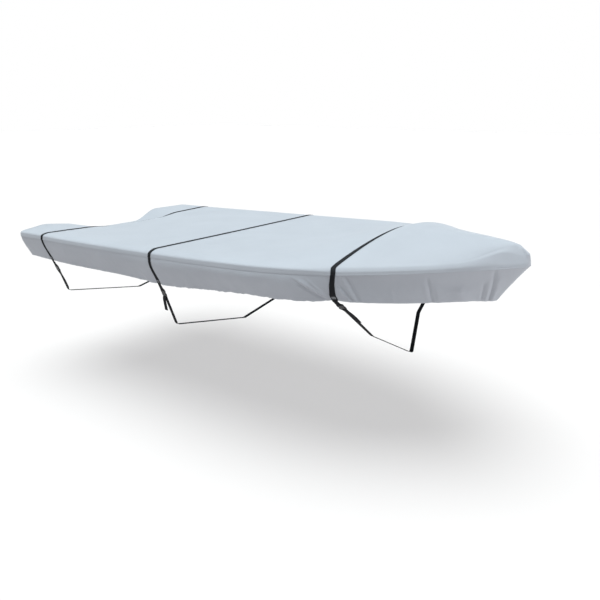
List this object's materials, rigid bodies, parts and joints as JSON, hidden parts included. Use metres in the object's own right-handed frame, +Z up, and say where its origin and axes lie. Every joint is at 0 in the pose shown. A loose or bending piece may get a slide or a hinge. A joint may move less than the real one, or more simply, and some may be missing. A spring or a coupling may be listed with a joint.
{
  "type": "boat cover",
  "caption": "Fitted fabric cover for a small open boat: a hollow shell with a raised bow, a low stern, hemmed skirts and black straps with side-release buckles that pass under the hull",
  "frame": {"origin": "on the underside of the top panel, on the centre line, where the cover bears on the boat amidships", "axes": "+X towards the bow along the cover's length, +Y to port, +Z up"},
  "size_m": [3.7996, 1.8284, 0.9114],
  "materials": {
    "cover_cloth": "silver-grey coated polyester, matt with a faint sheen",
    "strap_webbing": "black woven webbing",
    "strap_buckle": "black moulded plastic"
  },
  "bodies": {
    "root": {"top_panel": "cover_cloth", "skirt_starboard": "cover_cloth", "skirt_port": "cover_cloth", "stern_panel": "cover_cloth", "strap_1_top": "strap_webbing", "strap_2_top": "strap_webbing", "strap_3_top": "strap_webbing", "strap_1_belly": "strap_webbing", "strap_2_belly": "strap_webbing", "strap_3_belly": "strap_webbing", "buckle_1": "strap_buckle", "buckle_2": "strap_buckle", "buckle_3": "strap_buckle"}
  },
  "joints": []
}
